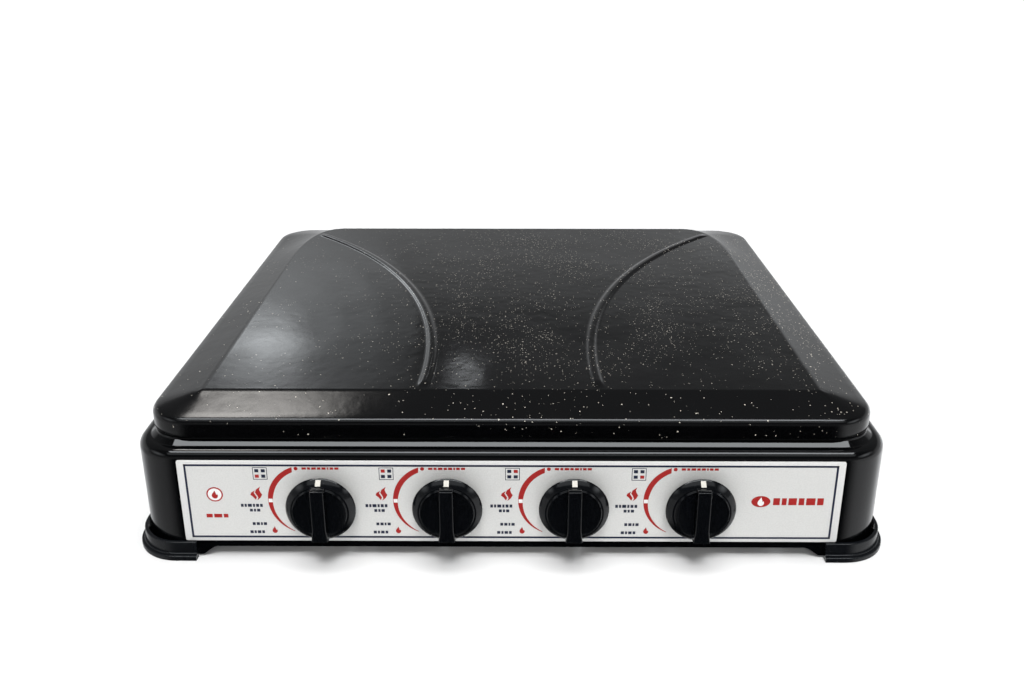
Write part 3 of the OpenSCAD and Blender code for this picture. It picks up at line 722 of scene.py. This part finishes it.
def addShape(points, layer=1):
    # a flat printed shape from its outline in the panel's plane
    film = panelPrint["film"]
    calm()
    bpy.ops.mesh.primitive_circle_add(vertices=len(points), fill_type="NGON")
    shape = bpy.context.object
    for vertex, (x, z) in zip(shape.data.vertices, points):
        vertex.co = (x, panelFront + 0.02 * mm, z)
    bpy.ops.object.mode_set(mode="EDIT")
    bpy.ops.mesh.select_all(action="SELECT")
    bpy.ops.mesh.extrude_region_move(TRANSFORM_OT_translate={"value": (0, -layer * film - 0.02 * mm, 0)})
    bpy.ops.mesh.select_all(action="SELECT")
    bpy.ops.mesh.quads_convert_to_tris()
    bpy.ops.object.mode_set(mode="OBJECT")
    return outward(shape)


def addFrame(x0, x1, z0, z1, line):
    return [
        addTile((x0 + x1) / 2, z1 - line / 2, x1 - x0, line),
        addTile((x0 + x1) / 2, z0 + line / 2, x1 - x0, line),
        addTile(x0 + line / 2, (z0 + z1) / 2, line, z1 - z0),
        addTile(x1 - line / 2, (z0 + z1) / 2, line, z1 - z0),
    ]


def addOval(x, z, a, b, layer):
    around = [2 * math.pi * k / 40 for k in range(40)]
    return addShape([(x + a * math.cos(t), z + b * math.sin(t)) for t in around], layer)


def cutStemHoles(plate):
    for x in knobX:
        cutWith(plate, addRod("hole", panelPrint["hole"], (x, panelFront - 0.01, knobZ),
                              (x, panelHigh.y + 0.01, knobZ), 48))


flameOutlines = {
    "drop": [(0, 0.5), (-0.10, 0.28), (-0.26, 0.08), (-0.33, -0.14), (-0.26, -0.36), (-0.08, -0.5),
             (0.12, -0.5), (0.28, -0.37), (0.34, -0.16), (0.27, 0.04), (0.17, -0.05), (0.12, 0.18)],
    "right": [(0.30, 0.50), (0.02, 0.28), (-0.06, 0.06), (0.06, -0.14), (0.12, -0.30), (0.04, -0.50),
              (0.27, -0.30), (0.38, -0.08), (0.28, 0.10), (0.22, 0.28)],
    "left": [(-0.12, 0.22), (-0.36, 0.06), (-0.42, -0.10), (-0.26, -0.24), (-0.10, -0.46),
             (-0.03, -0.26), (-0.12, -0.10), (-0.20, 0.04)],
}


def flame(x, z, size, layer=1, outline="drop"):
    # a plain flame outline, size in millimetres
    return addShape([(x + a * size * mm, z + b * size * mm) for a, b in flameOutlines[outline]], layer)


def dashes(x, z, widths, high, gap=0.8):
    # a row of plain dashes in place of lettering
    tiles, at = [], x
    for wide in widths:
        tiles.append(addTile(at + wide * mm / 2, z, wide * mm, high * mm))
        at += (wide + gap) * mm
    return tiles


def crescent(x, z):
    # band from the top of the dial by its left side to a point at the bottom
    part = panelPrint
    cx, cz, r = x - part["crescentBack"], z + part["crescentUp"], part["crescentRadius"]
    steps = 30
    firstOuter, sweepOuter = part["crescentOuter"]
    firstInner, sweepInner = part["crescentInner"]
    outer, inner = [], []
    for k in range(steps + 1):
        share = k / steps
        near = math.radians(firstOuter + sweepOuter * share)
        far = math.radians(firstInner + sweepInner * share)
        band = part["crescentWide"] * (1 - 0.88 * max(0.0, share * 1.6 - 0.6) ** 1.2)
        outer.append((cx + r * math.cos(near), cz + r * math.sin(near)))
        inner.append((cx + (r - band) * math.cos(far), cz + (r - band) * math.sin(far)))
    return addShape(outer + inner[::-1])


def makePanel():
    part = panelPrint
    plate = addBlock("panelPlate", (panelLow.x, panelFront, panelLow.z), panelHigh)
    bevelEdges(plate, lambda a, b: abs(a.y - b.y) > 0.5 * mm, 1.5 * mm, 5)
    bevelEdges(plate, lambda a, b: max(abs(a.y - panelFront), abs(b.y - panelFront)) < 0.1 * mm, 0.25 * mm, 2)
    cutStemHoles(plate)
    smooth(plate, 35)
    dress(plate, materials["printMargin"], "root", "panel_print", "control_panel")
    x0, x1 = panelLow.x + part["margin"], panelHigh.x - part["margin"]
    z0, z1 = panelLow.z + part["marginLow"], panelHigh.z - part["marginHigh"]
    field = addBlock("panelField", (x0, panelFront - part["film"] * 0.5, z0), (x1, panelFront + 0.02 * mm, z1))
    cutStemHoles(field)
    dress(field, materials["printField"], "root", "panel_print")
    navy = addFrame(x0, x1, z0, z1, part["line"])
    red, white = [], []
    lit = [(-1, -1), (-1, 1), (1, 1), (1, -1)]
    halfX, halfZ = part["iconHalf"]
    for index, x in enumerate(knobX):
        ix, iz = x + part["icon"][0], knobZ + part["icon"][1]
        navy += addFrame(ix - halfX, ix + halfX, iz - halfZ, iz + halfZ, 0.5 * mm)
        for sx, sz in lit:
            tile = addTile(ix + sx * part["iconTile"][0], iz + sz * part["iconTile"][1], 3.0 * mm, 2.7 * mm)
            (red if lit[index] == (sx, sz) else navy).append(tile)
        for offset, outline in part["bigFlames"]:
            red.append(flame(x + offset, knobZ + part["bigFlameUp"], 12, 1, outline))
        for offset, up, widths, high in dashRows:
            navy += dashes(x + offset * mm, knobZ + up * mm, widths, high)
        red.append(flame(x + part["smallFlame"][0], knobZ + part["smallFlame"][1], 6))
        red.append(crescent(x, knobZ))
        dotX, dotZ = x + part["dot"][0], knobZ + part["dot"][1]
        red.append(addRod("dot", 1.5 * mm, (dotX, panelFront + 0.02 * mm, dotZ),
                          (dotX, panelFront - part["film"], dotZ), 24))
        red += dashes(x - 14.2 * mm, knobZ + 28.3 * mm, (3.2, 2.2, 3.4, 2.4, 3.0, 1.2, 2.6, 3.0), 1.9, 0.9)
        white.append(addTile(x + part["whiteMark"][0], knobZ + part["whiteMark"][1], 3.0 * mm, 3.0 * mm, 2))
    # a flame in a ring at the left, a flame in an oval and a row of dashes at the right
    ringX, ringZ = panelLow.x + part["ringIn"], knobZ + 6 * mm
    red.append(addOval(ringX, ringZ, 6.2 * mm, 6.2 * mm, 1))
    white.append(addOval(ringX, ringZ, 5.1 * mm, 5.1 * mm, 1.5))
    red.append(flame(ringX, ringZ, 7, 2))
    red += dashes(ringX - 8 * mm, knobZ - 12.5 * mm, (4.6, 6.0, 3.4), 3.2, 1.2)
    badgeX, badgeZ = panelHigh.x - part["badgeIn"], knobZ + 1 * mm
    red.append(addOval(badgeX, badgeZ, 7.1 * mm, 4.8 * mm, 1))
    white.append(flame(badgeX, badgeZ, 7.4, 1.6))
    red += dashes(badgeX + 9.2 * mm, badgeZ, (5.0, 3.6, 6.2, 4.2, 6.8, 4.8), 6.0, 1.4)
    for name, tiles, key in (("printNavyMarks", navy, "printNavy"), ("printRedMarks", red, "printRed"),
                             ("printWhiteMarks", white, "printWhite")):
        dress(joined(name, tiles), materials[key], "root", "panel_print")


makePanel()
print("panel printed")


# ---- knobs ----

# all in millimetres, with heights measured forwards from the panel
knobTurned = {
    "profile": [(0.2, 4.0), (22.0, 4.0), (25.2, 8.6), (25.8, 9.5), (26.0, 10.0), (25.85, 10.5), (25.4, 11.0),
                (21.9, 14.8), (21.4, 15.0), (20.4, 15.0), (20.1, 15.3), (20.0, 15.9), (19.7, 16.2), (19.3, 16.2),
                (19.0, 15.9), (18.8, 15.4), (18.5, 15.3), (0.2, 15.3)],
    "gripHalf": 21.4,
    "gripWide": 10.0,
    "gripFlare": 12.4,
    "gripFront": 21.5,
    "gripBack": 13.5,
    "markSize": (3.8, 4.8, 0.16),
    "markLean": 42.6,         # degrees, the slope of the bevel
    "markAt": (12.9, 23.65),  # height and distance from the axis
}


def makeKnob():
    part = knobTurned
    profile = [(0.0002, part["profile"][0][1] * mm)] + [(r * mm, h * mm) for r, h in part["profile"][1:-1]]
    profile += [(0.0002, part["profile"][-1][1] * mm)]
    skirt = addTurned("knobSkirt", profile, (0, panelFront, 0), "-Y", 96)
    side, reach = part["gripWide"] / 2 * mm, part["gripHalf"] * mm
    grip = addBlock("knobGrip", (-side, panelFront - part["gripFront"] * mm, -reach),
                    (side, panelFront - part["gripBack"] * mm, reach))
    only(grip)
    bpy.ops.object.mode_set(mode="EDIT")
    bpy.ops.mesh.select_all(action="SELECT")
    bpy.ops.mesh.bisect(plane_co=(0, 0, -12 * mm), plane_no=(0, 0, 1))
    bpy.ops.object.mode_set(mode="OBJECT")
    for vertex in grip.data.vertices:
        if vertex.co.z < -20 * mm:
            vertex.co.x *= part["gripFlare"] / part["gripWide"]
        if vertex.co.y > panelFront - 15 * mm:
            vertex.co.x *= 1.12
    bevelEdges(grip, lambda a, b: True, 0.8 * mm, 4)
    knob = joined("knob", [skirt, grip])
    return smooth(knob, 30)


def addMark(name, x):
    # cream pointer painted on the bevel above the grip
    part = knobTurned
    wide, long, thick = (side * mm for side in part["markSize"])
    mark = addBlock(name, (x - wide / 2, -long / 2, -0.1 * mm), (x + wide / 2, long / 2, thick - 0.1 * mm))
    height, out = part["markAt"]
    mark.rotation_euler = (math.radians(part["markLean"]), 0, 0)
    mark.location = (0, panelFront - height * mm, knobZ + out * mm)
    return settle(mark, name)


master = makeKnob()
for index, x in enumerate(knobX):
    name = f"knob_{index + 1}"
    knob = copyOf(master, f"knobTurned{index + 1}", (x, 0, knobZ))
    dress(knob, materials["knob"], name, "knob_plastic", name)
    dress(addMark(f"knobMark{index + 1}", x), materials["knobMark"], name, "knob_plastic")
bpy.data.objects.remove(master)
print("knobs turned")


# ---- feet ----

footBlock = {
    "wallOut": 3.1 * mm,
    "flangeOut": 6.5 * mm,
    "gap": 0.5 * mm,
    "corner": 31 * mm,
    "reachX": 46 * mm,
    "reachY": 37 * mm,
    "top": 14 * mm,
    "screwIn": 22 * mm,
}


def roundedBlock(name, grow, corner, low, high):
    w, d = bodyWidth / 2 + grow, bodyDepth / 2 + grow
    block = addBlock(name, (-w, -d, low), (w, d, high))
    bevelEdges(block, lambda a, b: abs(a.z - b.z) > 0.5 * mm, corner, 14)
    return block


def makeFoot():
    part = footBlock
    flange = roundedBlock("foot", part["flangeOut"], part["corner"] + part["flangeOut"], 0, 3.6 * mm)
    stepOut = part["wallOut"] + 1.3 * mm
    step = roundedBlock("footStep", stepOut, part["corner"] + stepOut, 3 * mm, 5.0 * mm)
    wall = roundedBlock("footWall", part["wallOut"], part["corner"] + part["wallOut"], 3 * mm, part["top"])
    for block, rim in ((flange, 3.6 * mm), (step, 5.0 * mm), (wall, part["top"])):
        bevelEdges(block, lambda a, b: max(abs(a.z - rim), abs(b.z - rim)) < 0.1 * mm, 0.8 * mm, 3)
    cutWith(flange, step, "UNION")
    cutWith(flange, wall, "UNION")
    hollow = roundedBlock("hollow", part["gap"], part["corner"] + part["gap"], 1.6 * mm, part["top"] + 5 * mm)
    screwX, screwY = bodyWidth / 2 - part["screwIn"], bodyDepth / 2 - part["screwIn"]
    cutWith(hollow, addRod("post", 7 * mm, (screwX, screwY, 0), (screwX, screwY, 12 * mm)))
    cutWith(flange, hollow)
    keep = addBlock("keep", (bodyWidth / 2 - part["reachX"], bodyDepth / 2 - part["reachY"], -0.01),
                    (0.4, 0.4, 0.05))
    cutWith(flange, keep, "INTERSECT")
    cutWith(flange, addRod("bore", 4.0 * mm, (screwX, screwY, -0.01), (screwX, screwY, 4 * mm)))
    return smooth(flange, 35)


foot = makeFoot()
feet = {
    "foot_rear_right": (False, False), "foot_rear_left": (True, False),
    "foot_front_right": (False, True), "foot_front_left": (True, True),
}
for node, (flipX, flipY) in feet.items():
    twin = mirrored(foot, node.replace("_", " ").title().replace(" ", "") + "Pad", flipX, flipY)
    dress(twin, materials["foot"], "root", "foot_plastic", node)
bpy.data.objects.remove(foot)
print("feet moulded")


# ---- CAD pieces that keep their shape ----

plainFinish = {
    "steel": ("lid_hinge_leaves", "hinge_brackets", "hinge_pins", "hinge_screws", "leaf_screws", "tap_spindle",
              "tap_springs", "rail_end_plug", "rail_brackets", "rail_screws", "deck_screws", "burner_screws",
              "foot_screws"),
    "alloy": ("gas_rail", "supply_pipe", "feed_pipe", "jet_holders", "burner_cup", "burner_crown"),
    "brass": ("tap_body", "tap_plug", "tap_bonnets", "inlet_connector", "inlet_locknut", "pipe_nuts", "gas_jets"),
    "cap": ("burner_cap",),
    "wire": ("pan_support",),
    "rubber": ("lid_buffers",),
}
for finish, starts in plainFinish.items():
    for node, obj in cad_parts.items():
        if node.startswith(starts):
            obj.data.materials.clear()
            obj.data.materials.append(materials[finish])
            smooth(obj, 30)
print("inner pieces finished")


# ---- floor, lights and camera ----

studio = {
    "floor": (0.97, 0.97, 0.97),
    "floorSheen": 0.24,
    "worldSeen": 1.05,
    "worldSoft": 0.20,        # fill that reaches matt surfaces
    "lens": 33.98,
    "place": (0.0041, -0.8797, 0.4476),
    "pitch": 0.353,
    "yaw": 0.005,
    "shiftY": -0.0503,
    "horizon": 0.60,          # what gloss sees behind the stove, low down
    "middle": 0.40,           # a quarter of the way up
    "high": 0.13,             # and from there on
    "overhead": 0.17,
}


def makeStage():
    calm()
    bpy.ops.mesh.primitive_plane_add(size=14, location=(0, 2, -0.0002))
    floor = settle(bpy.context.object, "studioFloor")
    material, nodes, links, shader = newMaterial("studioFloor", studio["floor"], 0.6)
    shader.inputs["Specular IOR Level"].default_value = 0.1
    sheen = nodes.new("ShaderNodeBsdfGlossy")
    sheen.inputs["Roughness"].default_value = 0.14
    blend = nodes.new("ShaderNodeMixShader")
    blend.inputs["Fac"].default_value = studio["floorSheen"]
    links.new(shader.outputs[0], blend.inputs[1])
    links.new(sheen.outputs[0], blend.inputs[2])
    links.new(blend.outputs[0], nodes["Material Output"].inputs["Surface"])
    floor.data.materials.append(material)
    floor.visible_glossy = False


def makeWorld():
    # white backdrop for the eye, soft fill for matt surfaces, a graded room for gloss
    world = bpy.data.worlds.new("studioWorld")
    bpy.context.scene.world = world
    world.use_nodes = True
    nodes, links = world.node_tree.nodes, world.node_tree.links
    split = nodes.new("ShaderNodeSeparateXYZ")
    spot = nodes.new("ShaderNodeTexCoord")
    links.new(spot.outputs["Generated"], split.inputs["Vector"])
    up = split.outputs["Z"]
    low = span(nodes, links, up, 0.08, 0.33, (studio["horizon"], studio["middle"]))
    rise = span(nodes, links, up, 0.30, 0.40, (0, studio["high"] - studio["middle"]))
    top = span(nodes, links, up, 0.7, 0.95, (0, studio["overhead"] - studio["high"]))
    room = maths(nodes, links, "ADD", maths(nodes, links, "ADD", low, rise), top)
    behind = span(nodes, links, split.outputs["Y"], 0.1, 0.75, (0.0, 1.0))
    leftSide = span(nodes, links, split.outputs["X"], -0.35, -0.75, (0.0, 0.42))
    rightSide = span(nodes, links, split.outputs["X"], 0.35, 0.75, (0.0, 0.75))
    under = maths(nodes, links, "ADD", maths(nodes, links, "MULTIPLY", behind, 0.6),
                  maths(nodes, links, "ADD", leftSide, rightSide))
    isUp = maths(nodes, links, "GREATER_THAN", up, 0.0)
    room = maths(nodes, links, "MULTIPLY", room, span(nodes, links, split.outputs["Y"], -0.2, 0.2, (0.35, 1.0)))
    gloss = maths(nodes, links, "ADD", maths(nodes, links, "MULTIPLY", isUp, room),
                  maths(nodes, links, "MULTIPLY", maths(nodes, links, "SUBTRACT", 1.0, isUp), under))
    paths = nodes.new("ShaderNodeLightPath")
    soft = nodes.new("ShaderNodeMix")
    soft.inputs["A"].default_value = studio["worldSoft"]
    soft.inputs["B"].default_value = studio["worldSeen"]
    links.new(paths.outputs["Is Camera Ray"], soft.inputs["Factor"])
    mix = nodes.new("ShaderNodeMix")
    links.new(soft.outputs["Result"], mix.inputs["A"])
    links.new(gloss, mix.inputs["B"])
    links.new(paths.outputs["Is Glossy Ray"], mix.inputs["Factor"])
    links.new(mix.outputs["Result"], nodes["Background"].inputs["Strength"])
    nodes["Background"].inputs["Color"].default_value = (0.97, 0.985, 1, 1)


def addPanelLight(name, place, target, size, power, colour, glossy, diffuse):
    # a soft rectangular lamp that looks at a target
    data = bpy.data.lights.new(name, "AREA")
    data.shape = "RECTANGLE"
    data.size, data.size_y = size
    data.energy = power
    data.color = colour
    lamp = bpy.data.objects.new(name, data)
    bpy.context.scene.collection.objects.link(lamp)
    lamp.location = place
    lamp.rotation_euler = (Vector(target) - Vector(place)).to_track_quat("-Z", "Y").to_euler()
    lamp.visible_glossy = glossy
    lamp.visible_diffuse = diffuse
    return lamp


def addCamera():
    data = bpy.data.cameras.new("camera")
    camera = bpy.data.objects.new("camera", data)
    bpy.context.scene.collection.objects.link(camera)
    camera.location = studio["place"]
    camera.rotation_euler = (math.pi / 2 - studio["pitch"], 0, studio["yaw"])
    data.sensor_width = 36
    data.lens = studio["lens"]
    data.shift_y = studio["shiftY"]
    data.clip_start = 0.01
    bpy.context.scene.camera = camera


def addSun(name, strength, angle, tilt):
    # wide soft light that keeps the floor evenly white and never shows in the gloss
    data = bpy.data.lights.new(name, "SUN")
    data.energy = strength
    data.angle = angle
    sun = bpy.data.objects.new(name, data)
    bpy.context.scene.collection.objects.link(sun)
    sun.rotation_euler = tilt
    sun.visible_glossy = False


def addGlow(name, spot, target, size, radiance, colour, layers=4):
    # nested oval lamps that fade outwards, seen only in the gloss
    for k in range(layers):
        wide, high = (side * (k + 1) / layers for side in size)
        power = radiance / layers * math.pi * (math.pi / 4) * wide * high
        back = Vector(spot) + (Vector(spot) - Vector(target)).normalized() * 0.004 * k
        lamp = addPanelLight(f"{name}{k}", back, target, (wide, high), power, colour, True, False)
        lamp.data.shape = "ELLIPSE"


makeStage()
makeWorld()
addSun("ceiling", 1.9, 0.6, (0.02, 0.04, 0))
addSun("front", 2.1, 0.3, (0.5, 0.02, 0))
warm, cool = (1, 0.97, 0.93), (0.93, 0.97, 1)
# name, place, target, size, watts, colour, seen by gloss, seen by matt
lamps = [
    ("edgeStrip", (0.0, -0.60, 1.9), (0, -0.25, 0.1), (2.6, 0.5), 26, cool, True, False),
    ("bevelStrip", (0.0, -1.15, 1.45), (0, -0.27, 0.07), (2.8, 0.6), 3.6, cool, True, False),
    ("frontFill", (0.0, -2.4, 1.2), (0, -0.2, 0.05), (1.6, 0.8), 15, (1, 1, 1), False, True),
]
for name, spot, target, size, power, colour, glossy, diffuse in lamps:
    addPanelLight(name, spot, target, size, power, colour, glossy, diffuse)
# name, place, target, size, brightness, colour
glows = [
    ("rightGlow", (1.75, -0.85, 0.80), (0, -0.27, 0.06), (1.3, 0.7), 1.6, cool),
    ("leftGlow", (-1.75, -0.85, 0.80), (0, -0.27, 0.06), (1.3, 0.7), 1.1, cool),
    ("facetGlow", (-0.66, 0.22, 1.62), (-0.2, -0.23, 0.116), (0.62, 0.36), 17.0, warm),
    ("leftWindow", (-0.80, 1.95, 0.98), (-0.2, -0.07, 0.12), (1.0, 0.75), 0.8, cool),
    ("leftLamp", (-0.74, 1.68, 0.93), (-0.2, -0.12, 0.12), (0.30, 0.20), 3.6, cool),
    ("smallLamp", (-0.145, 1.62, 0.97), (-0.04, -0.185, 0.12), (0.12, 0.03), 5.0, cool),
    ("rightWindow", (0.9, 1.9, 0.60), (0.15, 0.1, 0.12), (0.9, 0.4), 0.35, cool),
]
for glow in glows:
    addGlow(*glow)
addCamera()
bpy.context.scene.view_settings.view_transform = "Standard"
print("stage and lights set")

calm()
